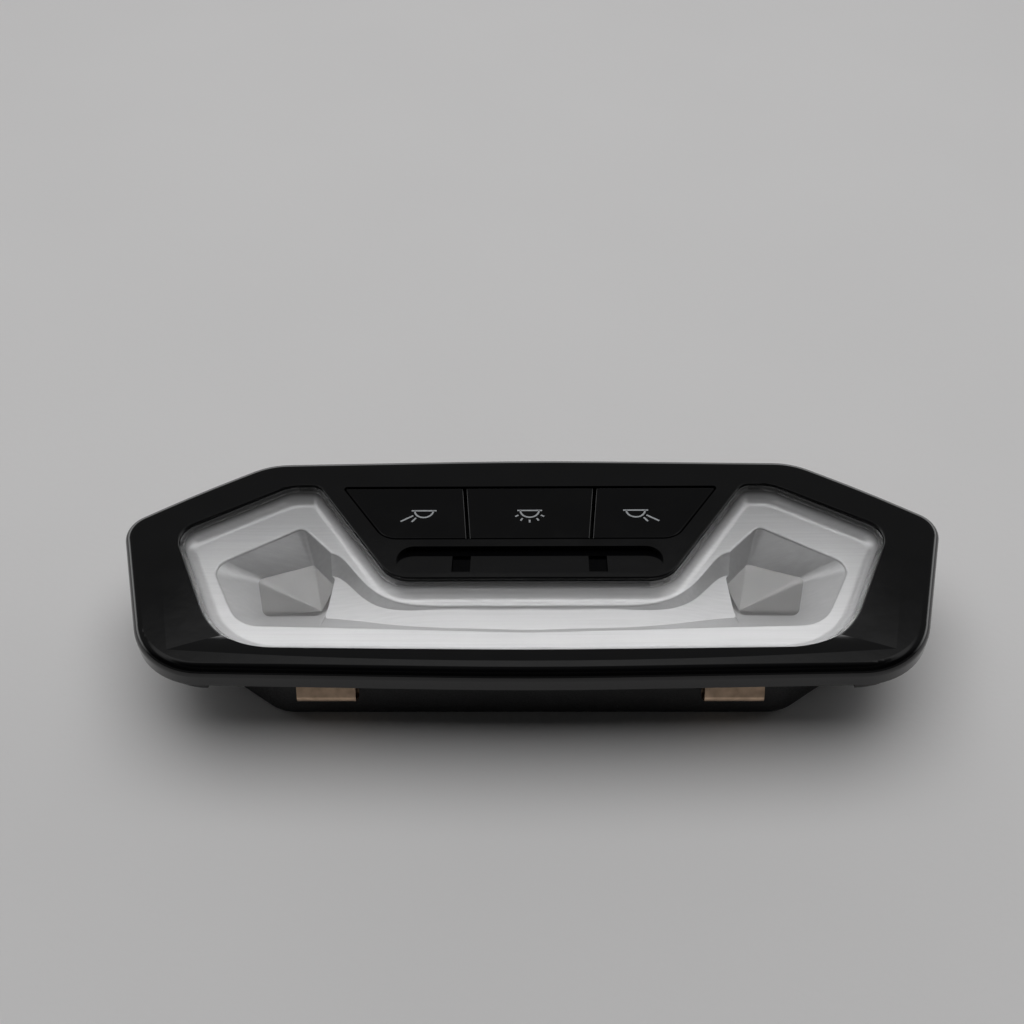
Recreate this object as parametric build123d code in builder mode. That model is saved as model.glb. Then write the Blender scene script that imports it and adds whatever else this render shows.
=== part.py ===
"""Interior reading light for a car roof lining, lying on its back with its lit face up.

Millimetres, +X along the lamp, +Y towards the shorter (far) edge, +Z out of the lit face.
The origin is under the middle of the part, on the plane of its back.
"""
import os
from math import cos, radians, sin

from build123d import *

# Bezel outline, right half: virtual corners and their rounding
corner_half_width = 98.0
corner_y = 11.8
far_half_width = 65.4
far_corner_y = 32.8
slant_half_width = 82.0
slant_y = 22.9
far_edge_y = 34.1
near_half_width = 85.1
near_corner_y = -32.2
near_edge_y = -34.0
corner_radius = 7.0
far_corner_radius = 18.0
near_corner_radius = 18.0
slant_bow_radius = 300.0
edge_bow_radius = 900.0

# Height of the lit face above the back, and what hangs from it
face_height = 26.0
skirt_depth = 5.3
panel_thickness = 3.4
skirt_wall = 2.2
bezel_edge_radius = 2.4
dish_depth = 2.0
dish_start = 0.02
dish_corner = (91.6, 10.0)
dish_near_corner = (81.2, -27.4)
dish_near_y = -30.9
dish_inner_corner = (77.0, 8.6)
dish_inner_near = (64.0, -20.0)

# Lens opening, right half
lens_corner_x = 84.7
lens_corner_y = 8.7
lens_far_x = 59.2
lens_far_y = 24.0
lens_inner_x = 51.8
panel_half_width = 31.8
panel_near_y = -6.2
lens_near_x = 69.2
lens_near_corner_y = -25.8
lens_near_y = -26.6
lens_corner_radius = 5.5
lens_far_radius = 9.0
lens_inner_radius = 3.6
panel_radius = 8.0
lens_near_radius = 20.0
lens_rim_radius = 0.4
match_tolerance = 0.01

# Clear cover, sunk a little below the lit face
lens_far_drop = 0.4
lens_near_drop = 1.5
lens_thickness = 1.5
cover_clearance = 0.12

# Silvered reflector
shelf_depth = 4.8
reflector_wall = 1.6
rim_wall = 0.9
shelf_fillet = 2.6
flange_reach = 1.2
pocket_depth = 6.7
rim_lip = 0.5
lip_turns = [0, 30, 60, 90]

# Pocket rim on the shelf and window at its foot, right half, with the ridge corners in step
pocket_rim = [(55.3, 13.7), (75.0, 1.3), (66.2, -16.4), (46.6, -16.9), (46.6, 4.4)]
pocket_rim_radii = [2.0, 4.0, 8.5, 1.0, 0.6]
window_rim = [(52.6, 7.4), (65.6, 2.9), (62.6, -8.6), (48.0, -8.4), (46.6, 0.6)]
window_rim_radii = [0.8, 1.6, 2.4, 3.2, 1.0]

# Light channel: distance from the middle, far rim and depth, out to where it meets the pocket
channel_near_y = -18.3
channel_stations = [
    (0.0, -11.1, 0.7),
    (18.0, -11.1, 0.7),
    (26.0, -10.8, 1.1),
    (32.0, -9.2, 2.0),
    (39.0, -3.6, 3.6),
]
channel_overlap = 1.0

# Faceted optics
optic_gap = 0.4
optic_web = 1.0
optic_apex = (49.6, -4.6)

# Push buttons
button_far_y = 23.6
button_near_y = 5.9
button_margin = 5.25
button_near_radius = 6.0
button_far_radius = 0.8
split_far_x = 16.0
split_near_x = 14.5
button_gap = 0.35
button_drop = 0.2
button_wall = 1.4
button_travel = 0.6
lip_reach = 0.6
lip_thickness = 0.9
lip_gap = 0.25
button_edge_radius = 0.4
symbol_y = 14.2
outer_button_x = 25.0

# Slot below the buttons, with its two windows
slot_margin = 0.8
slot_far_y = 3.7
slot_near_y = -4.6
slot_radius = 4.0
slot_depth = 1.5
slot_window_x = 15.9
slot_window_y = -1.3
slot_window_width = 4.3
slot_window_depth = 5.8
slot_window_seat = 0.8
slot_window_flange = 0.5
slot_window_drop = 1.8
insert_clearance = 0.1

# Button guide frame
guide_clearance = 0.4
guide_wall = 1.2
guide_depth = 6.0
guide_floor = 1.4
stem_clearance = 0.3

# Button stems, light guides and switches
stem_size = 3.2
stem_y = 18.8
light_guide_width = 9.0
light_guide_depth = 5.2
light_guide_gap = 1.9
switch_size = 6.0
switch_body_height = 3.5
plunger_radius = 1.7
plunger_proud = 1.2
plunger_sunk = 1.0
plunger_clearance = 0.25

# Circuit board
board_stand = 5.8
board_thickness = 1.6
board_inset = 2.6
reading_led_size = 3.5
reading_led_height = 1.0
small_led_size = 2.0
small_led_height = 0.8
reading_led_place = (55.5, 0.0)
symbol_led_y = 13.0
chip_size = 7.0
chip_height = 1.0
coil_size = 5.0
coil_radius = 1.0
coil_height = 2.6

# Rear housing
tub_near_y = -25.7
tub_near_x = 58.0
tub_side_x = 82.0
tub_side_y = 7.0
tub_low_x = 78.5
tub_low_y = -11.0
tub_far_x = 58.0
tub_far_y = 28.2
tub_radius = 5.0
tub_near_radius = 10.0
tub_wall = 1.8
tub_foot_radius = 1.6
housing_flange = 1.6
flange_inset = 3.0
upstand_wall = 1.2
board_post_radius = 2.6
board_posts = [(62.0, 8.0), (40.0, -18.0)]

# Screws and their bosses
screw_places = [(87.2, 4.4), (80.0, -19.0)]
screw_radius = 1.1
screw_head_radius = 2.3
screw_head_height = 1.6
screw_head_chamfer = 0.5
screw_slot_length = 2.6
screw_slot_width = 0.6
screw_slot_depth = 0.9
screw_clearance = 0.15
boss_radius = 2.4
screw_reach = 3.6

# Spring clips on the near wall, hooks on the far wall, tabs at the near corners
clip_x = 45.5
clip_width = 13.2
clip_sheet = 0.6
clip_drop = 1.4
clip_length = 9.6
clip_mouth = 2.4
clip_bulge = 5.2
clip_shoulder = 4.0
clip_bend_radius = 1.2
clip_lug_width = 5.0
clip_lug_height = 2.4
clip_lug_reach = 1.3
clip_lug_drop = 4.2
lug_clearance = 0.15
hook_x = 38.0
hook_width = 11.0
hook_reach = 3.0
hook_drop = 5.0
hook_thickness = 2.4
tab_x = 75.0
tab_width = 7.0
tab_drop = 1.6
tab_inset = 2.5
tab_thickness = 3.0

# Connector in the back
connector_y = 7.0
connector_width = 21.0
connector_depth = 8.6
connector_wall = 1.1
connector_floor = 1.2
connector_recess = 0.5
connector_clearance = 0.1
key_width = 1.2
key_depth = 0.6
key_spacing = 7.6
pin_rows = 2
pin_columns = 6
pin_pitch = 2.54
pin_size = 0.64
pin_reach = 1.5

# Levels that follow, from the lit face down and from the back up
skirt_height = face_height - skirt_depth
plate_height = face_height - panel_thickness
shelf_height = face_height - shelf_depth
window_height = shelf_height - pocket_depth
flange_floor = shelf_height - reflector_wall
flange_underside = flange_floor - housing_flange
button_height = face_height - button_drop
button_ceiling = button_height - button_wall
lip_top = plate_height - lip_gap
lip_foot = lip_top - lip_thickness
guide_floor_height = plate_height - guide_depth
slot_window_top = face_height - slot_window_drop
board_height = tub_wall + board_stand
board_top = board_height + board_thickness
switch_top = board_top + switch_body_height
plunger_top = switch_top + plunger_proud
light_guide_foot = switch_top + light_guide_gap
optic_base_height = board_top + reading_led_height + optic_gap
optic_apex_height = optic_base_height + optic_web
clip_top = flange_underside - clip_drop
clip_foot = clip_top - clip_length
clip_bulge_height = clip_top - clip_shoulder
clip_lug_z = clip_top - clip_lug_drop
hook_height = flange_underside - hook_drop
slot_half_width = panel_half_width - slot_margin


def mirrored(half):
    """Points of the right half followed by their mirror images, in order round the outline."""
    return half + [(-x, y) for x, y in reversed(half)]


def both(radii):
    """Corner radii of the right half followed by the same ones for the left half."""
    return radii + radii[::-1]


def outline(points, radii):
    """Closed outline with rounded corners."""
    with BuildSketch() as shape:
        with BuildLine():
            FilletPolyline(*points, radius=radii, close=True)
        make_face()
    return shape.sketch


def bowed(half, radii, far_y, near_y):
    """Mirrored outline whose far and near edges bow outwards to their own middle points."""
    left = [(-x, y) for x, y in reversed(half)]
    points = half + [(0, near_y)] + left + [(0, far_y)]
    return outline(points, radii + [edge_bow_radius] + radii[::-1] + [edge_bow_radius])


def follows(edge, face):
    """Whether an edge stands over the outline of a face in plan."""
    point = edge.position_at(0.5)
    return face.wire().distance_to(Vertex(point.X, point.Y, 0)) < match_tolerance


def panel_edge_x(y):
    """Where the slanted edge of the button panel lies at a depth across the lamp."""
    along = (y - panel_near_y) / (lens_far_y - panel_near_y)
    return panel_half_width + (lens_inner_x - panel_half_width) * along


def tilted(height_at_origin, slope):
    """Plane through the X axis at a height, rising along +Y."""
    return Plane(origin=(0, 0, height_at_origin), x_dir=(1, 0, 0), z_dir=(0, -slope, 1))


bezel_outline = bowed(
    [
        (far_half_width, far_corner_y),
        (slant_half_width, slant_y),
        (corner_half_width, corner_y),
        (near_half_width, near_corner_y),
    ],
    [far_corner_radius, slant_bow_radius, corner_radius, near_corner_radius],
    far_edge_y,
    near_edge_y,
)
opening_half = [
    (panel_half_width, panel_near_y),
    (lens_inner_x, lens_far_y),
    (lens_far_x, lens_far_y),
    (lens_corner_x, lens_corner_y),
    (lens_near_x, lens_near_corner_y),
]
opening_radii = [panel_radius, lens_inner_radius, lens_far_radius, lens_corner_radius, lens_near_radius]
opening_left = [(-x, y) for x, y in reversed(opening_half)]
lens_opening = outline(
    opening_half + [(0, lens_near_y)] + opening_left,
    opening_radii + [edge_bow_radius] + opening_radii[::-1],
)
button_opening = outline(
    mirrored([(panel_edge_x(y) - button_margin, y) for y in (button_far_y, button_near_y)]),
    both([button_far_radius, button_near_radius]),
)
tub_outline = outline(
    mirrored(
        [
            (tub_far_x, tub_far_y),
            (tub_side_x, tub_side_y),
            (tub_low_x, tub_low_y),
            (tub_near_x, tub_near_y),
        ]
    ),
    both([tub_radius, tub_radius, tub_radius, tub_near_radius]),
)


def middle(a, b):
    """Point half way between two points in plan."""
    return ((a[0] + b[0]) / 2, (a[1] + b[1]) / 2)


def dish(outer, inner, inner_drops):
    """Bezier face that leaves the lit face level along its outer line and falls to its inner line."""
    level = face_height + dish_start
    rows = [
        [(x, y, level) for x, y in outer],
        [(*middle(a, b), level) for a, b in zip(outer, inner)],
        [(x, y, level - drop) for (x, y), drop in zip(inner, inner_drops)],
    ]
    return Face.make_bezier_surface(rows)


def flipped(point):
    """Mirror image of a plan point on the other half of the lamp."""
    return (-point[0], point[1])


# The side and near bands fall towards the lens and meet along creases that fade out at the corners
near_control_y = 2 * dish_near_y - dish_near_corner[1]
side_dish = dish([dish_corner, dish_near_corner], [dish_inner_corner, dish_inner_near], [0, dish_depth])
near_dish = dish(
    [dish_near_corner, (0, near_control_y), flipped(dish_near_corner)],
    [dish_inner_near, (0, dish_inner_near[1]), flipped(dish_inner_near)],
    [dish_depth] * 3,
)
dish_cuts = [side_dish, mirror(side_dish, about=Plane.YZ), near_dish]

# Front bezel: one gloss moulding with a skirt, the lens opening, the button panel and its slot
slot_slope = slot_depth / (slot_far_y - slot_near_y)
slot_floor = tilted(face_height + slot_slope * slot_near_y, -slot_slope)
with BuildPart() as slot_cut:
    with BuildSketch(Plane.XY.offset(face_height - slot_depth)):
        with Locations((0, (slot_far_y + slot_near_y) / 2)):
            RectangleRounded(2 * slot_half_width, slot_far_y - slot_near_y, slot_radius)
    extrude(amount=2 * slot_depth)
    split(bisect_by=slot_floor, keep=Keep.TOP)

with BuildPart() as front_bezel:
    with BuildSketch(Plane.XY.offset(skirt_height)):
        add(bezel_outline)
    extrude(amount=face_height - skirt_height)
    fillet(front_bezel.faces().sort_by(Axis.Z)[-1].edges(), bezel_edge_radius)
    for face in dish_cuts:
        extrude(face, amount=dish_depth, dir=(0, 0, 1), mode=Mode.SUBTRACT)
    with BuildSketch(Plane.XY.offset(skirt_height)):
        add(bezel_outline)
        offset(amount=-skirt_wall)
    extrude(amount=plate_height - skirt_height, mode=Mode.SUBTRACT)
    with BuildSketch(Plane.XY.offset(plate_height)):
        add(lens_opening)
        add(button_opening)
        with Locations((-slot_window_x, slot_window_y), (slot_window_x, slot_window_y)):
            Rectangle(slot_window_width, slot_window_depth)
    extrude(amount=face_height, mode=Mode.SUBTRACT)
    level_edges = front_bezel.edges().filter_by_position(Axis.Z, face_height, face_height)
    fillet(level_edges.filter_by(lambda edge: follows(edge, lens_opening)), lens_rim_radius)
    add(slot_cut.part, mode=Mode.SUBTRACT)
    with BuildSketch(Plane.XY.offset(flange_floor)):
        with Locations(screw_places, [flipped(place) for place in screw_places]):
            Circle(boss_radius)
    extrude(amount=plate_height - flange_floor)
    with BuildSketch(Plane.XY.offset(flange_floor)):
        with Locations(screw_places, [flipped(place) for place in screw_places]):
            Circle(screw_radius + screw_clearance)
    extrude(amount=screw_reach, mode=Mode.SUBTRACT)
front_bezel.part.label = "front_bezel"

# Clear cover: a flat plate that drops into the lens opening and lies on the reflector's rim
lens_slope = (lens_near_drop - lens_far_drop) / (lens_far_y - lens_near_y)
lens_level = face_height - lens_near_drop - lens_slope * lens_near_y
lens_top = tilted(lens_level, lens_slope)
lens_underside = tilted(lens_level - lens_thickness, lens_slope)
with BuildPart() as lens_cover:
    with BuildSketch(Plane.XY.offset(shelf_height)):
        add(lens_opening)
        offset(amount=-cover_clearance)
    extrude(amount=face_height - shelf_height)
    split(bisect_by=lens_top, keep=Keep.BOTTOM)
    split(bisect_by=lens_underside, keep=Keep.TOP)
lens_cover.part.label = "lens_cover"


# Rounding of a rim: how far it stands out from the wall below and how far it has dropped
lip_profile = [(rim_lip * (1 - sin(radians(turn))), rim_lip * (1 - cos(radians(turn)))) for turn in lip_turns]
pocket_near_slope = (window_rim[3][1] - pocket_rim[3][1]) / pocket_depth
pocket_far_slope = (pocket_rim[4][1] - window_rim[4][1]) / pocket_depth


def channel_section(x, far_y, depth, wall):
    """Cross-section of the light channel at one place along the lamp, grown by a wall."""
    near_y = channel_near_y + (pocket_rim[3][1] - channel_near_y) * abs(x) / pocket_rim[3][0]
    floor = shelf_height - depth - wall
    near_floor = (near_y + depth * pocket_near_slope - wall, floor)
    far_floor = (far_y - depth * pocket_far_slope + wall, floor)
    if wall > 0:
        rim = [(wall, wall / 2)]
    else:
        rim = [(rim_lip, -channel_overlap), *lip_profile]
    near_rim = [(near_y - out, shelf_height - drop) for out, drop in reversed(rim)]
    far_rim = [(far_y + out, shelf_height - drop) for out, drop in rim]
    with BuildSketch(Plane.YZ.offset(x)) as section:
        with BuildLine():
            Polyline(near_floor, *near_rim, *far_rim, far_floor, close=True)
        make_face()
    return section.sketch


def channel(wall):
    """Channel from one pocket through the middle of the lamp to the other, bending to follow the panel."""
    mouth_x, mouth_far_y = pocket_rim[4]
    mouth = (mouth_x + channel_overlap, mouth_far_y + channel_overlap, pocket_depth - reflector_wall)
    half = [*channel_stations[1:], mouth]
    stations = [(-x, far_y, depth) for x, far_y, depth in reversed(half)] + [channel_stations[0]] + half
    with BuildPart() as trough:
        loft([channel_section(*station, wall) for station in stations], ruled=wall > 0)
    return trough.part


def pocket_section(points, radii, height, wall):
    """Outline of a pocket at one height, grown by a wall."""
    with BuildSketch(Plane.XY.offset(height)) as section:
        add(outline(points, radii))
        if wall > 0:
            offset(amount=wall, kind=Kind.INTERSECTION)
    return section.sketch


def pocket(wall, top, profile):
    """Faceted pocket from a level down to its window on the right half, with a rounded rim."""
    with BuildPart() as funnel:
        rim = [pocket_section(pocket_rim, pocket_rim_radii, top - drop, wall + out) for out, drop in profile]
        foot = pocket_section(window_rim, window_rim_radii, window_height, wall)
        loft([*rim, foot], ruled=True)
    return funnel.part


# Silvered reflector: a tray with a rim, two faceted pockets and the light channel between them
pocket_shells = pocket(reflector_wall, flange_floor, [(0, 0)])
pocket_cuts = pocket(0, shelf_height, lip_profile)
with BuildPart() as reflector:
    with BuildSketch(Plane.XY.offset(flange_floor)):
        add(lens_opening)
        offset(amount=-cover_clearance)
    extrude(amount=face_height - flange_floor)
    with BuildSketch(Plane.XY.offset(flange_floor)):
        add(lens_opening)
        offset(amount=flange_reach)
    extrude(amount=plate_height - flange_floor)
    with BuildSketch(Plane.XY.offset(shelf_height)):
        add(lens_opening)
        offset(amount=-cover_clearance - rim_wall)
    extrude(amount=face_height - shelf_height, mode=Mode.SUBTRACT)
    shelf = reflector.faces().filter_by(Axis.Z).filter_by_position(Axis.Z, shelf_height, shelf_height)
    fillet(shelf.edges(), shelf_fillet)
    split(bisect_by=lens_underside, keep=Keep.BOTTOM)
    add(pocket_shells)
    add(mirror(pocket_shells, about=Plane.YZ, mode=Mode.PRIVATE))
    add(channel(reflector_wall))
    add(pocket_cuts, mode=Mode.SUBTRACT)
    add(mirror(pocket_cuts, about=Plane.YZ, mode=Mode.PRIVATE), mode=Mode.SUBTRACT)
    add(channel(0), mode=Mode.SUBTRACT)
reflector.part.label = "reflector"

# Faceted reading optics: clear blocks under the pockets, each with an inverted pyramid in its top
sides = {"left": -1, "right": 1}
with BuildPart() as right_optic:
    with BuildSketch(Plane.XY.offset(optic_base_height)):
        add(pocket_section(window_rim, window_rim_radii, 0, reflector_wall))
    extrude(amount=window_height - optic_base_height)
    mouth = pocket_section(window_rim, window_rim_radii, window_height, 0)
    loft([mouth.face(), Vertex(*optic_apex, optic_apex_height)], ruled=True, mode=Mode.SUBTRACT)
with BuildPart() as left_optic:
    mirror(right_optic.part, about=Plane.YZ)
right_optic.part.label = "right_optic"
left_optic.part.label = "left_optic"


def split_x(y):
    """Where the line between the centre and outer buttons lies at a depth across the panel."""
    along = (y - button_near_y) / (button_far_y - button_near_y)
    return split_near_x + (split_far_x - split_near_x) * along


def button_face(place):
    """Outline of one button: its share of the panel's opening, with a gap all round."""
    far_y = button_far_y + button_near_radius
    near_y = button_near_y - button_near_radius
    reach = corner_half_width
    if place == 0:
        inner = [(split_x(y) - button_gap, y) for y in (far_y, near_y)]
        share = inner + [flipped(point) for point in reversed(inner)]
    else:
        inner = [(place * (split_x(y) + button_gap), y) for y in (far_y, near_y)]
        share = inner + [(place * reach, near_y), (place * reach, far_y)]
    with BuildSketch() as face:
        add(button_opening)
        offset(amount=-button_gap)
        with BuildLine():
            Polyline(*share, close=True)
        make_face(mode=Mode.INTERSECT)
    return face.sketch


def push_button(place):
    """Hollow button cap with retaining lips and a stem that reaches down to its switch."""
    face = button_face(place)
    with BuildPart() as button:
        with BuildSketch(Plane.XY.offset(lip_foot)):
            add(face)
        extrude(amount=button_height - lip_foot)
        fillet(button.faces().sort_by(Axis.Z)[-1].edges(), button_edge_radius)
        with BuildSketch(Plane.XY.offset(lip_foot)):
            with Locations((0, lip_reach), (0, -lip_reach)):
                add(face)
        extrude(amount=lip_thickness)
        with BuildSketch(Plane.XY.offset(lip_foot)):
            add(face)
            offset(amount=-button_wall)
        extrude(amount=button_ceiling - lip_foot, mode=Mode.SUBTRACT)
        with BuildSketch(Plane.XY.offset(plunger_top)):
            with Locations((place * outer_button_x, stem_y)):
                Rectangle(stem_size, stem_size)
        extrude(amount=button_ceiling - plunger_top)
    return button


def light_guide(place):
    """Clear block that carries light from the board to the button's symbol."""
    with BuildPart() as guide:
        with BuildSketch(Plane.XY.offset(light_guide_foot)):
            with Locations((place * outer_button_x, symbol_y)):
                Rectangle(light_guide_width, light_guide_depth)
        extrude(amount=button_ceiling - light_guide_foot)
    return guide


def switch_plunger(place):
    """Round plunger of one switch, which travels with its button."""
    with BuildPart() as plunger:
        with BuildSketch(Plane.XY.offset(switch_top - plunger_sunk)):
            with Locations((place * outer_button_x, stem_y)):
                Circle(plunger_radius)
        extrude(amount=plunger_sunk + plunger_proud)
    return plunger


def switch_body(place):
    """Square switch body on the board, with a well for its plunger."""
    well = plunger_sunk + button_travel + plunger_clearance
    with BuildPart() as body:
        with BuildSketch(Plane.XY.offset(board_top)):
            with Locations((place * outer_button_x, stem_y)):
                Rectangle(switch_size, switch_size)
        extrude(amount=switch_body_height)
        chamfer(body.faces().sort_by(Axis.Z)[-1].edges(), plunger_clearance)
        with BuildSketch(Plane.XY.offset(switch_top)):
            with Locations((place * outer_button_x, stem_y)):
                Circle(plunger_radius + plunger_clearance)
        extrude(amount=-well, mode=Mode.SUBTRACT)
    return body


places = {"left": -1, "centre": 0, "right": 1}
makers = {
    "button": push_button,
    "light_guide": light_guide,
    "plunger": switch_plunger,
    "switch": switch_body,
}
buttons = {}
for name, place in places.items():
    for kind, maker in makers.items():
        label = f"{name}_{kind}"
        buttons[label] = maker(place)
        buttons[label].part.label = label

# Button guide: a frame under the panel whose floor steers the stems and the light guides
with BuildPart() as button_guide:
    with BuildSketch(Plane.XY.offset(guide_floor_height)):
        add(button_opening)
        offset(amount=lip_reach + guide_clearance + guide_wall)
    extrude(amount=plate_height - guide_floor_height)
    with BuildSketch(Plane.XY.offset(guide_floor_height + guide_floor)):
        add(button_opening)
        offset(amount=lip_reach + guide_clearance)
    extrude(amount=plate_height - guide_floor_height, mode=Mode.SUBTRACT)
    with BuildSketch(Plane.XY.offset(guide_floor_height)):
        with Locations(*[(place * outer_button_x, stem_y) for place in places.values()]):
            Rectangle(stem_size + 2 * stem_clearance, stem_size + 2 * stem_clearance)
        with Locations(*[(place * outer_button_x, symbol_y) for place in places.values()]):
            Rectangle(light_guide_width + 2 * stem_clearance, light_guide_depth + 2 * stem_clearance)
    extrude(amount=guide_floor, mode=Mode.SUBTRACT)
button_guide.part.label = "button_guide"

# Smoked windows in the slot's floor, each with a flange under the panel
windows = {}
for name, sign in sides.items():
    with BuildPart() as window:
        with BuildSketch(Plane.XY.offset(plate_height)):
            with Locations((sign * slot_window_x, slot_window_y)):
                Rectangle(slot_window_width, slot_window_depth)
            offset(amount=-insert_clearance)
        extrude(amount=slot_window_top - plate_height)
        with BuildSketch(Plane.XY.offset(plate_height)):
            with Locations((sign * slot_window_x, slot_window_y)):
                Rectangle(slot_window_width, slot_window_depth)
            offset(amount=slot_window_flange, kind=Kind.INTERSECTION)
        extrude(amount=-slot_window_seat)
    windows[f"{name}_window"] = window
    window.part.label = f"{name}_window"

# Circuit board and what is soldered to it
with BuildPart() as circuit_board:
    with BuildSketch(Plane.XY.offset(board_height)):
        add(tub_outline)
        offset(amount=-board_inset)
    extrude(amount=board_thickness)
circuit_board.part.label = "circuit_board"

leds = {}
for name, sign in sides.items():
    with BuildPart() as led:
        with BuildSketch(Plane.XY.offset(board_top)):
            with Locations((sign * reading_led_place[0], reading_led_place[1])):
                Rectangle(reading_led_size, reading_led_size)
        extrude(amount=reading_led_height)
    leds[f"{name}_reading_led"] = led
    led.part.label = f"{name}_reading_led"

with BuildPart() as symbol_leds:
    with BuildSketch(Plane.XY.offset(board_top)):
        with Locations(*[(place * outer_button_x, symbol_led_y) for place in places.values()]):
            Rectangle(small_led_size, small_led_size)
    extrude(amount=small_led_height)
symbol_leds.part.label = "symbol_leds"

with BuildPart() as ambient_leds:
    with BuildSketch(Plane.XY.offset(board_top)):
        with Locations(*[(sign * slot_window_x, slot_window_y) for sign in sides.values()]):
            Rectangle(small_led_size, small_led_size)
    extrude(amount=small_led_height)
ambient_leds.part.label = "ambient_leds"

with BuildPart() as board_components:
    with BuildSketch(Plane.XY.offset(board_top)):
        with Locations((0, slot_window_y - chip_size)):
            Rectangle(chip_size, chip_size)
    extrude(amount=chip_height)
    with BuildSketch(Plane.XY.offset(board_top)):
        with Locations(*[(sign * slot_window_x, slot_window_y - 2 * coil_size) for sign in sides.values()]):
            RectangleRounded(coil_size, coil_size, coil_radius)
    extrude(amount=coil_height)
board_components.part.label = "board_components"

# Rear housing: a tub with a flange under the bezel, board posts, far hooks, near lugs and tabs
tub_places = [place for post in board_posts for place in (post, flipped(post))]
screw_spots = [place for screw in screw_places for place in (screw, flipped(screw))]
with BuildPart() as rear_housing:
    with BuildSketch():
        add(tub_outline)
    extrude(amount=flange_underside)
    fillet(rear_housing.faces().sort_by(Axis.Z)[0].edges(), tub_foot_radius)
    with BuildSketch(Plane.XY.offset(flange_underside)):
        add(bezel_outline)
        offset(amount=-flange_inset)
    extrude(amount=plate_height - flange_underside)
    with BuildSketch(Plane.XY.offset(flange_floor)):
        add(bezel_outline)
        offset(amount=-flange_inset - upstand_wall)
    extrude(amount=plate_height - flange_floor, mode=Mode.SUBTRACT)
    with BuildSketch(Plane.XY.offset(tub_wall)):
        add(tub_outline)
        offset(amount=-tub_wall)
    extrude(amount=flange_floor - tub_wall, mode=Mode.SUBTRACT)
    with BuildSketch(Plane.XY.offset(tub_wall)):
        with Locations(*tub_places):
            Circle(board_post_radius)
    extrude(amount=board_height - tub_wall)
    with BuildSketch(Plane.XY.offset(flange_underside)):
        with Locations(*screw_spots):
            Circle(screw_radius + screw_clearance)
    extrude(amount=housing_flange, mode=Mode.SUBTRACT)
    with BuildSketch():
        with Locations((0, connector_y)):
            Rectangle(connector_width + 2 * connector_clearance, connector_depth + 2 * connector_clearance)
    extrude(amount=tub_wall, mode=Mode.SUBTRACT)
    for sign in sides.values():
        with BuildSketch(Plane.YZ.offset(sign * hook_x - hook_width / 2)):
            with BuildLine():
                Polyline(
                    (tub_far_y - tub_wall / 2, hook_height),
                    (tub_far_y + hook_reach, hook_height),
                    (tub_far_y + hook_reach, hook_height - hook_thickness / 2),
                    (tub_far_y, hook_height - hook_thickness - hook_reach),
                    (tub_far_y - tub_wall / 2, hook_height - hook_thickness - hook_reach),
                    close=True,
                )
            make_face()
        extrude(amount=hook_width)
        with BuildSketch(Plane.XZ.offset(-tub_near_y)):
            with Locations((sign * clip_x, clip_lug_z)):
                Rectangle(clip_lug_width, clip_lug_height)
        extrude(amount=clip_lug_reach)
        with BuildSketch(Plane.XY.offset(flange_underside - tab_drop)):
            add(bezel_outline)
            offset(amount=-tab_inset)
            with Locations((sign * tab_x, near_edge_y)):
                Rectangle(tab_width, 2 * (tab_inset + tab_thickness), mode=Mode.INTERSECT)
        extrude(amount=tab_drop + housing_flange)
rear_housing.part.label = "rear_housing"

# Spring clips: bent strip, one leg on the housing wall and one that bulges out to grip the roof
clips = {}
clip_inner_y = tub_near_y - clip_sheet / 2
for name, sign in sides.items():
    with BuildPart() as clip:
        with BuildSketch(Plane.YZ.offset(sign * clip_x - clip_width / 2)):
            with BuildLine():
                FilletPolyline(
                    (clip_inner_y, clip_top),
                    (clip_inner_y, clip_foot),
                    (tub_near_y - clip_bulge + clip_sheet / 2, clip_bulge_height),
                    (clip_inner_y - clip_mouth, clip_top),
                    radius=clip_bend_radius,
                )
            trace(line_width=clip_sheet)
        extrude(amount=clip_width)
        with BuildSketch(Plane.XZ.offset(-tub_near_y)):
            with Locations((sign * clip_x, clip_lug_z)):
                Rectangle(clip_lug_width + 2 * lug_clearance, clip_lug_height + 2 * lug_clearance)
        extrude(amount=clip_sheet + lug_clearance, mode=Mode.SUBTRACT)
    clips[f"{name}_clip"] = clip
    clip.part.label = f"{name}_clip"

# Screws from below, through the housing flange into the bezel's bosses
with BuildPart() as housing_screws:
    with BuildSketch(Plane.XY.offset(flange_underside)):
        with Locations(*screw_spots):
            Circle(screw_head_radius)
    extrude(amount=-screw_head_height)
    chamfer(housing_screws.edges().group_by(Axis.Z)[0], screw_head_chamfer)
    with BuildSketch(Plane.XY.offset(flange_underside - screw_head_height)):
        with Locations(*screw_spots):
            Rectangle(screw_slot_length, screw_slot_width)
            Rectangle(screw_slot_width, screw_slot_length)
    extrude(amount=screw_slot_depth, mode=Mode.SUBTRACT)
    with BuildSketch(Plane.XY.offset(flange_underside)):
        with Locations(*screw_spots):
            Circle(screw_radius)
    extrude(amount=housing_flange + screw_reach - screw_clearance)
housing_screws.part.label = "housing_screws"

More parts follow.
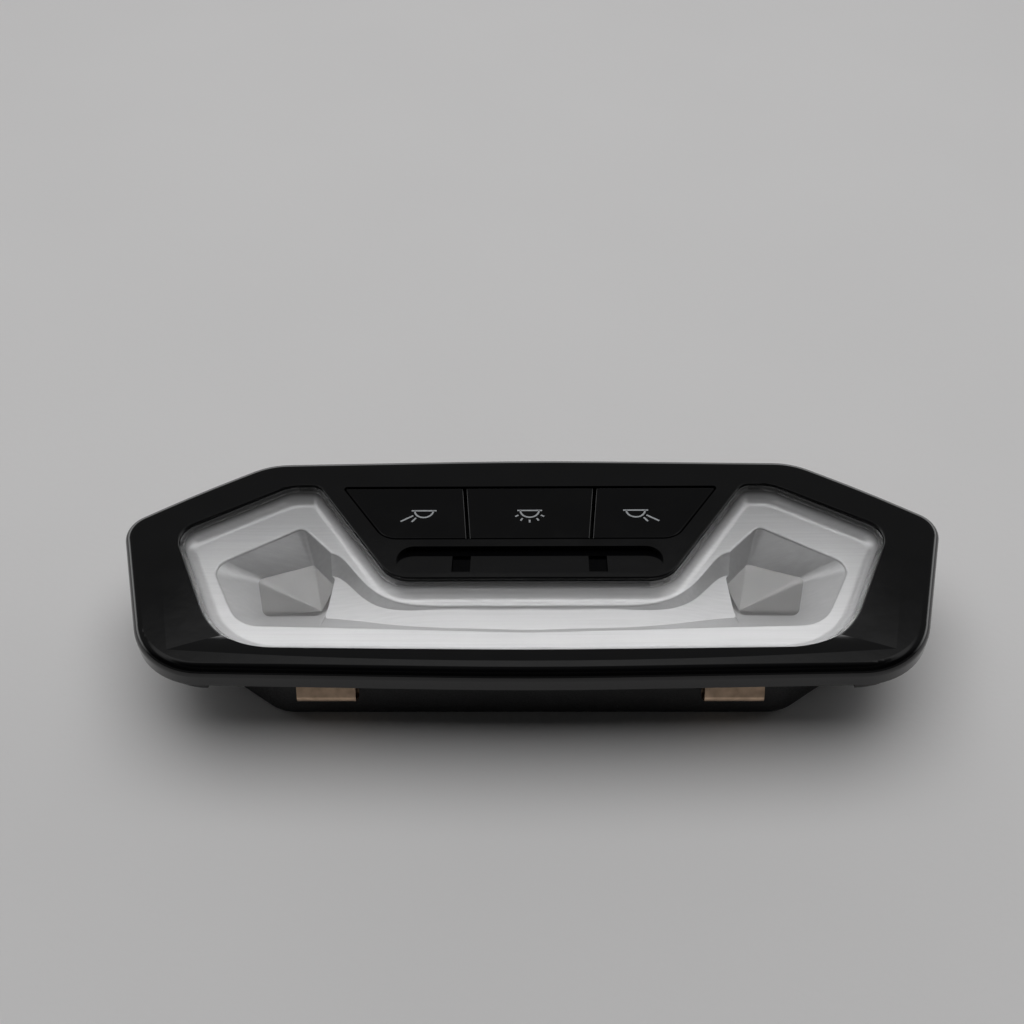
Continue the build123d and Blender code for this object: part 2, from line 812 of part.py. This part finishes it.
# Connector: a shell that hangs from the board into the back, with its pins
connector_roof = board_height - connector_floor
with BuildPart() as connector_shell:
    with BuildSketch(Plane.XY.offset(connector_recess)):
        with Locations((0, connector_y)):
            Rectangle(connector_width, connector_depth)
    extrude(amount=board_height - connector_recess)
    with BuildSketch(Plane.XY.offset(connector_recess)):
        with Locations((0, connector_y)):
            Rectangle(connector_width - 2 * connector_wall, connector_depth - 2 * connector_wall)
    extrude(amount=connector_roof - connector_recess, mode=Mode.SUBTRACT)
    with BuildSketch(Plane.XY.offset(connector_roof)):
        with Locations((0, connector_y + connector_depth / 2 - connector_wall - key_depth / 2)):
            with GridLocations(key_spacing, 0, 2, 1):
                Rectangle(key_width, key_depth)
    extrude(amount=connector_recess - connector_roof)
connector_shell.part.label = "connector_shell"

with BuildPart() as connector_pins:
    with BuildSketch(Plane.XY.offset(connector_roof)):
        with Locations((0, connector_y)):
            with GridLocations(pin_pitch, pin_pitch, pin_columns, pin_rows):
                Rectangle(pin_size, pin_size)
    extrude(amount=-pin_reach)
connector_pins.part.label = "connector_pins"

pieces = [
    front_bezel,
    lens_cover,
    reflector,
    left_optic,
    right_optic,
    *buttons.values(),
    button_guide,
    *windows.values(),
    circuit_board,
    *leds.values(),
    symbol_leds,
    ambient_leds,
    board_components,
    rear_housing,
    *clips.values(),
    housing_screws,
    connector_shell,
    connector_pins,
]
os.makedirs("parts", exist_ok=True)
for piece in pieces:
    export_step(piece.part, f"parts/{piece.part.label}.step")
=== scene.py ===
"""Looks of an interior reading light: finishes, button symbols and a plain studio, round its fixed frame."""
import math
from typing import NamedTuple

import bpy
import numpy as np
from mathutils import Matrix, Vector


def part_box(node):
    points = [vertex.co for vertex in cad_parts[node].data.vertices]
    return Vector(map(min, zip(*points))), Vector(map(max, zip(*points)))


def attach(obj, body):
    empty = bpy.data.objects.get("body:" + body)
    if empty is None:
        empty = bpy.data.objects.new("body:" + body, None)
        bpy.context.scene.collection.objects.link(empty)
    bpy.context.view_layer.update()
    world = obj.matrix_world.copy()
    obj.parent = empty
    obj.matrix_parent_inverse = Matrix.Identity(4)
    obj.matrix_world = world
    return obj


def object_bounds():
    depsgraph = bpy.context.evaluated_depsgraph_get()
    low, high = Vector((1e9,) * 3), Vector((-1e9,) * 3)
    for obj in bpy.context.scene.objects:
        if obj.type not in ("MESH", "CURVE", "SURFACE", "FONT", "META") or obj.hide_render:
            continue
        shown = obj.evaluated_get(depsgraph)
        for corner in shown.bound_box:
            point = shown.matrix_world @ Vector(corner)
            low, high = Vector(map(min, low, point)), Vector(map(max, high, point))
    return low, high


bl_info = {
    "name": "Interior reading light",
    "version": (1, 0, 0),
    "blender": (4, 5, 0),
    "location": "View3D > Sidebar > Reading light",
    "description": "Finishes, button symbols and studio for an interior reading light",
    "category": "Object",
}

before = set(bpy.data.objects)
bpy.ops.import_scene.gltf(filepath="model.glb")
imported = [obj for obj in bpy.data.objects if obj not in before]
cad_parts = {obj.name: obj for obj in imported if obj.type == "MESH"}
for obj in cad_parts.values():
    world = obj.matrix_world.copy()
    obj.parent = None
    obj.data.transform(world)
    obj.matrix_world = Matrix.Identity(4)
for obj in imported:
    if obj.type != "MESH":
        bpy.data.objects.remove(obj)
CAD_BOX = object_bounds()
MM = 0.001
PLACES = {"left": -1, "centre": 0, "right": 1}
FACE_HEIGHT = CAD_BOX[1].z
# Most of a noise texture lies between these values
NOISE_SPAN = (0.35, 0.65)
# Rays of the lamp symbols: direction in degrees, start and end in millimetres from the dome's centre
ROUND_RAYS = [(direction, 3.1, 4.0) for direction in (-150, -123, -90, -57, -30)]
SIDE_RAYS = [(-33, 3.0, 6.5), (-53, 3.0, 4.6)]
DOME_POINTS = 25
# Camera: width of the frame in millimetres and the depths in metres between which it sees
SENSOR_WIDTH = 36
CAMERA_REACH = (0.01, 20)


def linear(code):
    """An sRGB hex colour as linear red, green and blue."""
    shares = np.array([int(code[i : i + 2], 16) / 255 for i in (1, 3, 5)])
    return tuple(np.where(shares <= 0.04045, shares / 12.92, ((shares + 0.055) / 1.055) ** 2.4))


def length(name, description, size):
    """A length property whose default is given in millimetres."""
    return bpy.props.FloatProperty(name=name, description=description, default=size * MM, unit="LENGTH")


def colour(name, description, code):
    """A colour property whose default is given as an sRGB hex value."""
    return bpy.props.FloatVectorProperty(
        name=name, description=description, default=linear(code), subtype="COLOR", size=3, min=0, max=1
    )


def angle(name, description, degrees):
    """An angle property whose default is given in degrees."""
    return bpy.props.FloatProperty(
        name=name, description=description, default=math.radians(degrees), subtype="ANGLE"
    )


def level(name, description, value):
    """A plain number property."""
    return bpy.props.FloatProperty(name=name, description=description, default=value, min=0)


class FinishSettings(bpy.types.PropertyGroup):
    """Colours of the lamp's finishes"""

    gloss_black: colour("Gloss black", "Moulded-in colour of the bezel", "#060607")
    button_black: colour("Button black", "Moulded-in colour of the buttons", "#040405")
    bezel_index: level("Bezel index", "Refractive index behind the bezel's shine", 1.5)
    button_index: level("Button index", "Refractive index behind the buttons' fainter shine", 1.4)
    silver: colour("Silver", "Reflectance of the metallised tray", "#C3C3C4")
    # Painted shade: the silver is darkened towards its far side, standing in for the shade of the tray's far
    # wall
    far_shade_share: level("Far share", "Brightness of the far silver as a share of the near silver", 0.52)
    # Painted shade near the rim: over this height below the tray's rim the silver is darkened, standing in
    # for the shade and dark reflection in the cove under the rim
    rim_shade_depth: length("Mask depth", "Height below the tray's rim where its coating starts to thin", 2.0)
    rim_shade_share: level("Mask share", "Brightness of the rim as a share of the silver below it", 0.08)
    optic: colour("Optic", "Tint of the frosted reading optics", "#787777")
    smoke: colour("Smoke", "Tint of the dark panes in the slot", "#020203")
    housing: colour("Housing", "Colour of the rear housing", "#101011")
    bronze: colour("Clip", "Colour of the spring clips", "#C4AA92")
    zinc: colour("Zinc", "Colour of the plated screws", "#A9ABAE")
    brass: colour("Brass", "Colour of the connector's pins", "#D8C7A0")
    symbol: colour("Symbol", "Colour of the symbols on the buttons", "#A4A7AA")
    board: colour("Board", "Colour of the solder mask", "#1F5A36")
    package: colour("Package", "Colour of the parts on the board", "#161617")
    plunger: colour("Plunger", "Colour of the switch plungers", "#B8B8B4")
    phosphor: colour("Phosphor", "Colour of the unlit lamps on the board", "#E6D25A")


class SymbolSettings(bpy.types.PropertyGroup):
    """Sizes of the lamp symbols on the buttons"""

    stroke: length("Stroke", "Width of a drawn line", 0.42)
    relief: length("Relief", "Thickness of the ink", 0.03)
    bar: length("Bar", "Length of the lamp's top line", 6.0)
    dome: length("Dome", "Radius of the lamp's dome", 2.25)
    spacing: length("Spacing", "Distance from the middle symbol to the outer ones", 25.5)
    depth: length("Depth", "Distance of the top line from the middle of the lamp", 15.5)


class StageSettings(bpy.types.PropertyGroup):
    """Viewpoint and studio"""

    elevation: angle("Elevation", "Height of the viewpoint above the horizon", 46.0)
    heading: angle("Heading", "Turn of the viewpoint round the lamp", 1.634)
    roll: angle("Roll", "Turn of the camera about its own axis", -1.3675)
    distance: length("Distance", "From the camera to the point it aims at", 301.07)
    aim_x: length("Aim X", "Aimed point along the lamp", -4.25)
    aim_y: length("Aim Y", "Aimed point across the lamp", 14.83)
    lens: level("Lens", "Focal length in millimetres on a 36 mm frame", 43.95)
    floor: colour("Floor", "Colour of the table", "#E4E3E3")
    floor_size: length("Floor size", "Width of the table", 6000)
    ceiling_height: length("Ceiling height", "Height of the overhead light", 1100)
    ceiling_offset: length("Ceiling offset", "Distance of the overhead light behind the lamp", 250)
    ceiling_width: length("Ceiling width", "Width of the overhead light", 1500)
    ceiling_depth: length("Ceiling depth", "Depth of the overhead light", 1300)
    ceiling_power: level("Ceiling power", "Power of the overhead light in watts", 8.4)
    silver_distance: length("Silver distance", "From the lamp to the lights on its silver", 1200)
    silver_width: length("Silver width", "Width of the lights on the silver", 2400)
    silver_depth: length("Silver depth", "Depth of the lights on the silver", 700)
    rear_elevation: angle("Rear elevation", "Height of the light behind the lamp above the horizon", 66.5)
    rear_power: level("Rear power", "Power of the light behind the lamp in watts", 11.5)
    front_elevation: angle("Front elevation", "Height of the light before the lamp above the horizon", 60)
    front_power: level("Front power", "Power of the light before the lamp in watts", 1.2)
    side_elevation: angle("Side elevation", "Height of the lights beside the lamp above the horizon", 40)
    side_power: level("Side power", "Power of each light beside the lamp in watts", 3.6)


class Grain(NamedTuple):
    """Noise with spots of a size in millimetres, drawn out by stretch, that runs between two values."""

    size: float
    low: float
    high: float
    stretch: tuple = (1, 1, 1)


class Fade(NamedTuple):
    """Brightness that falls to a share of itself between two places in metres along X, Y or Z."""

    axis: str
    start: float
    end: float
    share: float


def settings(name):
    """One of the property groups on the scene."""
    return getattr(bpy.context.scene, f"reading_light_{name}")


def add(tree, kind, inputs=None, **options):
    """Adds a node, sets its options, and sets or links its inputs."""
    made = tree.nodes.new(kind)
    for name, value in options.items():
        setattr(made, name, value)
    for name, value in (inputs or {}).items():
        if isinstance(value, bpy.types.NodeSocket):
            tree.links.new(value, made.inputs[name])
        else:
            made.inputs[name].default_value = value
    return made


def finish(name, base, shade, roughness, relief, fades=(), **inputs):
    """A material whose brightness, roughness and relief in millimetres each follow noise of a real size."""
    made = bpy.data.materials.new(name)
    made.use_nodes = True
    tree = made.node_tree
    tree.nodes.clear()
    place = add(tree, "ShaderNodeTexCoord").outputs["Object"]
    values = []
    for grain in (shade, roughness, relief):
        scale = [1 / (grain.size * MM * factor) for factor in grain.stretch]
        mapped = add(tree, "ShaderNodeMapping", {"Vector": place, "Scale": scale}).outputs["Vector"]
        noise = add(tree, "ShaderNodeTexNoise", {"Vector": mapped, "Scale": 1.0}).outputs["Fac"]
        least, most = NOISE_SPAN
        ends = {"From Min": least, "From Max": most, "To Min": grain.low, "To Max": grain.high}
        values.append(add(tree, "ShaderNodeMapRange", {"Value": noise, **ends}).outputs["Result"])
    share = values[0]
    for fade in fades:
        split = add(tree, "ShaderNodeSeparateXYZ", {"Vector": place})
        ends = {"From Min": fade.start, "From Max": fade.end, "To Min": 1, "To Max": fade.share}
        along = {"Value": split.outputs[fade.axis], **ends}
        faded = add(tree, "ShaderNodeMapRange", along, interpolation_type="SMOOTHSTEP").outputs["Result"]
        share = add(tree, "ShaderNodeMath", {0: share, 1: faded}, operation="MULTIPLY").outputs["Value"]
    tone = add(tree, "ShaderNodeHueSaturation", {"Color": (*base, 1), "Value": share}).outputs["Color"]
    normal = add(tree, "ShaderNodeBump", {"Height": values[2], "Distance": MM}).outputs["Normal"]
    shader = add(
        tree,
        "ShaderNodeBsdfPrincipled",
        {
            "Base Color": tone,
            "Roughness": values[1],
            "Normal": normal,
            **{key.replace("_", " "): value for key, value in inputs.items()},
        },
    )
    add(tree, "ShaderNodeOutputMaterial", {"Surface": shader.outputs["BSDF"]})
    return made


def gloss_black_abs(name, base, index):
    """Piano-black ABS from a polished tool: near-mirror gloss, faint handling haze and orange peel."""
    return finish(name, base, Grain(11, 0.9, 1.1), Grain(9, 0.05, 0.11), Grain(3, 0, 0.003), IOR=index)


def clear_acrylic(name):
    """Clear PMMA, moulded and polished: colourless, with a sharp surface reflection."""
    return finish(
        name,
        linear("#FFFFFF"),
        Grain(20, 0.98, 1),
        Grain(20, 0.008, 0.016),
        Grain(15, 0, 0.002),
        IOR=1.49,
        Transmission_Weight=1.0,
    )


def frosted_acrylic(base):
    """PMMA with frosted facets over a silvered cavity: grey and soft-edged, with a mostly metallic shine."""
    return finish(
        "frosted_acrylic",
        base,
        Grain(6, 0.96, 1.04),
        Grain(6, 0.28, 0.32),
        Grain(4, 0, 0.002),
        IOR=1.49,
        Metallic=0.8,
    )


def metallised_tray(base, fades):
    """Vacuum-coated aluminium: satin silver brushed along the lamp, with painted shade from the given fades
    that darkens it towards the far side and towards the rim.
    """
    brushed = (60, 0.8, 2)
    return finish(
        "satin_metallised_silver",
        base,
        Grain(0.7, 0.93, 1.0, brushed),
        Grain(14, 0.32, 0.36),
        Grain(0.5, 0, 0.008, brushed),
        fades,
        Metallic=0.5,
    )


def smoked_polycarbonate(base):
    """Smoked polycarbonate: almost black right through, with a dulled face."""
    return finish(
        "smoked_polycarbonate",
        base,
        Grain(3, 0.8, 1.2),
        Grain(2, 0.15, 0.25),
        Grain(2, 0, 0.002),
        IOR=1.3,
        Specular_IOR_Level=0.2,
    )


def moulded_black(name, base):
    """Plastic moulded in a spark-eroded tool: dull, with a fine even grain."""
    return finish(name, base, Grain(7, 0.8, 1.3), Grain(0.45, 0.42, 0.6), Grain(0.45, 0, 0.02), IOR=1.49)


def rolled_strip(name, base, smooth):
    """Cold-rolled metal: fine rolling lines and a faint tarnish, from a smooth roughness to a duller one."""
    rolled = (0.6, 12, 12)
    dull = smooth + 0.14
    return finish(
        name,
        base,
        Grain(3, 0.75, 1.1),
        Grain(0.25, smooth, dull, rolled),
        Grain(0.25, 0, 0.006, rolled),
        Metallic=1.0,
    )


def solder_mask(base):
    """Epoxy solder mask over copper: green and satin, lighter and raised where a track runs below."""
    track = (12, 1, 1)
    return finish(
        "green_solder_mask",
        base,
        Grain(1.2, 1.0, 1.6, track),
        Grain(5, 0.3, 0.4),
        Grain(1.2, 0, 0.035, track),
        IOR=1.5,
    )


def led_phosphor(base):
    """Silicone filled with yellow phosphor: soft, matt and slightly mottled."""
    return finish(
        "led_phosphor", base, Grain(0.5, 0.85, 1.05), Grain(0.5, 0.45, 0.55), Grain(0.4, 0, 0.01), IOR=1.45
    )


def printed_ink(base):
    """Opaque pad-printed ink: matt light grey with a slightly uneven film."""
    return finish(
        "pad_printed_ink", base, Grain(0.8, 0.9, 1.05), Grain(0.8, 0.4, 0.5), Grain(0.3, 0, 0.004), IOR=1.5
    )


def table_laminate(base):
    """Melamine-faced table: pale and dead matt, with a barely visible mottle."""
    return finish(
        "table_laminate",
        base,
        Grain(90, 0.985, 1),
        Grain(40, 0.8, 0.9),
        Grain(2, 0, 0.01),
        Specular_IOR_Level=0.0,
    )


def dress(look, *nodes):
    """Gives CAD nodes a finish."""
    for name in nodes:
        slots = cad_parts[name].data.materials
        slots.clear()
        slots.append(look)


def each(kind):
    """Names of the three nodes of a kind, one for each button."""
    return [f"{place}_{kind}" for place in PLACES]


def mesh_piece(name, points, faces, look):
    """A new object at the origin, made of points in metres."""
    mesh = bpy.data.meshes.new(name)
    mesh.from_pydata(points.tolist(), [], faces.tolist())
    mesh.materials.append(look)
    mesh.validate()
    piece = bpy.data.objects.new(name, mesh)
    bpy.context.scene.collection.objects.link(piece)
    return piece


def stroke(path, width, relief, height):
    """Closed strip: a width by relief rectangle carried along a flat path, its ends capped square.

    Each point of the path is shifted to both sides along the mean normal of its two runs, widened where
    the path bends so that the strip keeps its width.
    """
    path = np.asarray(path, float)
    runs = np.diff(path, axis=0)
    runs /= np.linalg.norm(runs, axis=1, keepdims=True)
    sides = np.stack([-runs[:, 1], runs[:, 0]], axis=1)
    before, after = np.vstack([sides[:1], sides]), np.vstack([sides, sides[-1:]])
    normal = before + after
    normal /= np.sum(normal * after, axis=1, keepdims=True)
    left, right = path + normal * width / 2, path - normal * width / 2
    count = len(path)
    ring = np.stack([left, right, right, left], axis=1)
    levels = np.broadcast_to([height, height, height + relief, height + relief], (count, 4))
    points = np.concatenate([ring, levels[..., None]], axis=2).reshape(-1, 3)
    start = 4 * np.arange(count - 1)[:, None]
    corner = np.arange(4)[None, :]
    follow = (corner + 1) % 4
    walls = np.stack([start + corner, start + 4 + corner, start + 4 + follow, start + follow], axis=2)
    caps = np.array([[3, 2, 1, 0], [4 * count - 4, 4 * count - 3, 4 * count - 2, 4 * count - 1]])
    return points, np.vstack([walls.reshape(-1, 4)[:, ::-1], caps[:, ::-1]])


def joined(parts):
    """Points and faces of several strips as one mesh."""
    shifts = np.cumsum([0] + [len(points) for points, _ in parts[:-1]])
    points = np.vstack([points for points, _ in parts])
    faces = np.vstack([faces + shift for (_, faces), shift in zip(parts, shifts)])
    return points, faces


def ray(direction, start, end):
    """Straight path from one distance to another along a direction in degrees, from the dome's centre."""
    turn = math.radians(direction)
    unit = np.array([math.cos(turn), math.sin(turn)])
    return np.array([unit * start * MM, unit * end * MM])


def lamp_symbol(side, sizes):
    """Paths of a ceiling-lamp symbol: a bar, a half-round dome under it and rays to one side or all round."""
    bar = np.array([[-sizes.bar / 2, 0], [sizes.bar / 2, 0]])
    turn = np.linspace(math.pi, 2 * math.pi, DOME_POINTS)
    dome = sizes.dome * np.stack([np.cos(turn), np.sin(turn)], axis=1)
    if side == 0:
        rays = [ray(*values) for values in ROUND_RAYS]
    else:
        rays = [ray(*values) * (side, 1) for values in SIDE_RAYS]
    return [bar, dome, *rays]


class READINGLIGHT_OT_bezel(bpy.types.Operator):
    """Finish the bezel and the buttons in gloss black"""

    bl_idname = "reading_light.bezel"
    bl_label = "Bezel and buttons"

    def execute(self, context):
        looks = settings("finish")
        bezel = gloss_black_abs("gloss_black_abs", looks.gloss_black, looks.bezel_index)
        buttons = gloss_black_abs("gloss_black_keys", looks.button_black, looks.button_index)
        dress(bezel, "front_bezel")
        dress(buttons, *each("button"))
        return {"FINISHED"}


class READINGLIGHT_OT_symbols(bpy.types.Operator):
    """Print the lamp symbols on the buttons"""

    bl_idname = "reading_light.symbols"
    bl_label = "Button symbols"

    def execute(self, context):
        sizes = settings("symbol")
        ink = printed_ink(settings("finish").symbol)
        for place, side in PLACES.items():
            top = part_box(f"{place}_button")[1].z
            middle = np.array([side * sizes.spacing, sizes.depth])
            paths = [path + middle for path in lamp_symbol(side, sizes)]
            strips = [stroke(path, sizes.stroke, sizes.relief, top) for path in paths]
            symbol = mesh_piece(f"{place}_symbol", *joined(strips), ink)
            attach(symbol, f"{place}_push")
        return {"FINISHED"}


class READINGLIGHT_OT_cover(bpy.types.Operator):
    """Finish the clear cover and the light guides under the buttons"""

    bl_idname = "reading_light.cover"
    bl_label = "Clear cover"

    def execute(self, context):
        dress(clear_acrylic("clear_acrylic"), "lens_cover", *each("light_guide"))
        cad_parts["lens_cover"].visible_shadow = False
        return {"FINISHED"}


class READINGLIGHT_OT_reflector(bpy.types.Operator):
    """Finish the silvered tray and its reading optics"""

    bl_idname = "reading_light.reflector"
    bl_label = "Reflector and optics"

    def execute(self, context):
        looks = settings("finish")
        low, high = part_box("reflector")
        # Painted shade: the silver darkens towards the far side of the tray
        across = Fade("Y", low.y, high.y, looks.far_shade_share)
        # Painted shade: the silver darkens towards the tray's rim
        rim_shade = Fade("Z", high.z - looks.rim_shade_depth, high.z, looks.rim_shade_share)
        dress(metallised_tray(looks.silver, [across, rim_shade]), "reflector")
        dress(frosted_acrylic(looks.optic), "left_optic", "right_optic")
        return {"FINISHED"}


class READINGLIGHT_OT_housing(bpy.types.Operator):
    """Finish the rear housing, its clips, screws, connector and the panes in the slot"""

    bl_idname = "reading_light.housing"
    bl_label = "Housing and clips"

    def execute(self, context):
        looks = settings("finish")
        black = moulded_black("moulded_black_pp", looks.housing)
        dress(black, "rear_housing", "button_guide", "connector_shell")
        dress(rolled_strip("rolled_spring_steel", looks.bronze, smooth=0.3), "left_clip", "right_clip")
        dress(rolled_strip("zinc_plated_steel", looks.zinc, smooth=0.3), "housing_screws")
        dress(rolled_strip("tinned_brass", looks.brass, smooth=0.25), "connector_pins")
        dress(smoked_polycarbonate(looks.smoke), "left_window", "right_window")
        return {"FINISHED"}


class READINGLIGHT_OT_electronics(bpy.types.Operator):
    """Finish the circuit board and what is soldered to it"""

    bl_idname = "reading_light.electronics"
    bl_label = "Electronics"

    def execute(self, context):
        looks = settings("finish")
        leds = ["left_reading_led", "right_reading_led", "symbol_leds", "ambient_leds"]
        dress(solder_mask(looks.board), "circuit_board")
        dress(moulded_black("epoxy_package", looks.package), "board_components", *each("switch"))
        dress(moulded_black("grey_acetal", looks.plunger), *each("plunger"))
        dress(led_phosphor(looks.phosphor), *leds)
        return {"FINISHED"}


def studio_world():
    """A dim room with a bright strip low behind the lamp, a soft glow high up and a dark camera side."""
    world = bpy.data.worlds.new("studio")
    bpy.context.scene.world = world
    world.use_nodes = True
    tree = world.node_tree
    tree.nodes.clear()
    direction = add(tree, "ShaderNodeTexCoord").outputs["Generated"]
    split = add(tree, "ShaderNodeSeparateXYZ", {"Vector": direction})
    ramp = add(tree, "ShaderNodeValToRGB", {"Fac": split.outputs["Z"]})
    # Sine of the height above the horizon, and brightness as a share of the brightest
    strip = [(0.0, 0.2), (0.08, 1.0), (0.25, 1.0), (0.38, 0.07)]
    high_glow = [(0.74, 0.07), (0.8, 0.3), (0.85, 0.3), (0.9, 0.03)]
    stops = strip + high_glow
    elements = ramp.color_ramp.elements
    while len(elements) < len(stops):
        elements.new(1.0)
    for element, (at, share) in zip(elements, stops):
        element.position = at
        element.color = (share, share, share, 1)
    # Dim on the camera side, bright behind the lamp
    ends = {"From Min": -0.15, "From Max": 0.25, "To Min": 0.1, "To Max": 1.9}
    behind = add(tree, "ShaderNodeMapRange", {"Value": split.outputs["Y"], **ends})
    shares = {0: ramp.outputs["Color"], 1: behind.outputs["Result"]}
    glow = add(tree, "ShaderNodeMath", shares, operation="MULTIPLY")
    sky = add(tree, "ShaderNodeBackground", {"Color": (1, 1, 1, 1), "Strength": glow.outputs["Value"]})
    add(tree, "ShaderNodeOutputWorld", {"Surface": sky.outputs["Background"]})


def area_light(name, place, width, depth, power):
    """A rectangular light that faces the lamp from a place."""
    data = bpy.data.lights.new(name, "AREA")
    data.shape = "RECTANGLE"
    data.size, data.size_y = width, depth
    data.energy = power
    light = bpy.data.objects.new(name, data)
    light.matrix_world = Matrix.Translation(place) @ place.to_track_quat("Z", "Y").to_matrix().to_4x4()
    bpy.context.scene.collection.objects.link(light)
    return light


class READINGLIGHT_OT_stage(bpy.types.Operator):
    """Set up the table, the lights and the camera"""

    bl_idname = "reading_light.stage"
    bl_label = "Studio"

    def execute(self, context):
        stage = settings("stage")
        half = stage.floor_size / 2
        corners = np.array([[-half, -half, 0], [half, -half, 0], [half, half, 0], [-half, half, 0]])
        mesh_piece("table", corners, np.array([[0, 1, 2, 3]]), table_laminate(stage.floor))

        studio_world()
        place = Vector((0, stage.ceiling_offset, stage.ceiling_height))
        sizes = stage.ceiling_width, stage.ceiling_depth
        light = area_light("overhead_light", place, *sizes, stage.ceiling_power)
        light.visible_glossy = light.visible_transmission = False

        # Soft lights that reach the silver alone, so that the black faces stay dark
        silver = bpy.data.collections.new("silver")
        for name in ("reflector", "left_optic", "right_optic"):
            silver.objects.link(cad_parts[name])
        sizes = stage.silver_width, stage.silver_depth
        for name, side, rise, power in (
            ("rear_light", Vector((0, 1, 0)), stage.rear_elevation, stage.rear_power),
            ("front_light", Vector((0, -1, 0)), stage.front_elevation, stage.front_power),
            ("left_light", Vector((-1, 0, 0)), stage.side_elevation, stage.side_power),
            ("right_light", Vector((1, 0, 0)), stage.side_elevation, stage.side_power),
        ):
            place = stage.silver_distance * (math.cos(rise) * side + Vector((0, 0, math.sin(rise))))
            light = area_light(name, place, *sizes, power)
            light.data.cycles.use_multiple_importance_sampling = False
            light.light_linking.receiver_collection = silver

        data = bpy.data.cameras.new("camera")
        data.lens = stage.lens
        data.sensor_width = SENSOR_WIDTH
        data.clip_start, data.clip_end = CAMERA_REACH
        camera = bpy.data.objects.new("camera", data)
        turn = (
            Matrix.Rotation(stage.heading, 4, "Z")
            @ Matrix.Rotation(math.pi / 2 - stage.elevation, 4, "X")
            @ Matrix.Rotation(stage.roll, 4, "Z")
        )
        aim = Vector((stage.aim_x, stage.aim_y, FACE_HEIGHT))
        camera.matrix_world = Matrix.Translation(aim) @ turn @ Matrix.Translation((0, 0, stage.distance))
        context.scene.collection.objects.link(camera)
        context.scene.camera = camera
        context.scene.view_settings.view_transform = "Standard"
        return {"FINISHED"}


class READINGLIGHT_PT_panel(bpy.types.Panel):
    """Lists the steps that dress the lamp"""

    bl_label = "Reading light"
    bl_idname = "READINGLIGHT_PT_panel"
    bl_space_type = "VIEW_3D"
    bl_region_type = "UI"
    bl_category = "Reading light"

    def draw(self, context):
        for step in STEPS:
            self.layout.operator(step.bl_idname)


GROUPS = {"finish": FinishSettings, "symbol": SymbolSettings, "stage": StageSettings}
STEPS = [
    READINGLIGHT_OT_bezel,
    READINGLIGHT_OT_symbols,
    READINGLIGHT_OT_cover,
    READINGLIGHT_OT_reflector,
    READINGLIGHT_OT_housing,
    READINGLIGHT_OT_electronics,
    READINGLIGHT_OT_stage,
]


def register():
    """Registers the classes and hangs the settings on the scene."""
    for name, group in GROUPS.items():
        bpy.utils.register_class(group)
        setattr(bpy.types.Scene, f"reading_light_{name}", bpy.props.PointerProperty(type=group))
    for item in [*STEPS, READINGLIGHT_PT_panel]:
        bpy.utils.register_class(item)


def unregister():
    """Takes the settings and the classes away again."""
    for item in [READINGLIGHT_PT_panel, *reversed(STEPS)]:
        bpy.utils.unregister_class(item)
    for name, group in GROUPS.items():
        delattr(bpy.types.Scene, f"reading_light_{name}")
        bpy.utils.unregister_class(group)


def main():
    """Dresses the lamp step by step."""
    register()
    bpy.ops.reading_light.bezel()
    bpy.ops.reading_light.symbols()
    bpy.ops.reading_light.cover()
    bpy.ops.reading_light.reflector()
    bpy.ops.reading_light.housing()
    bpy.ops.reading_light.electronics()
    bpy.ops.reading_light.stage()


if __name__ == "__main__":
    main()
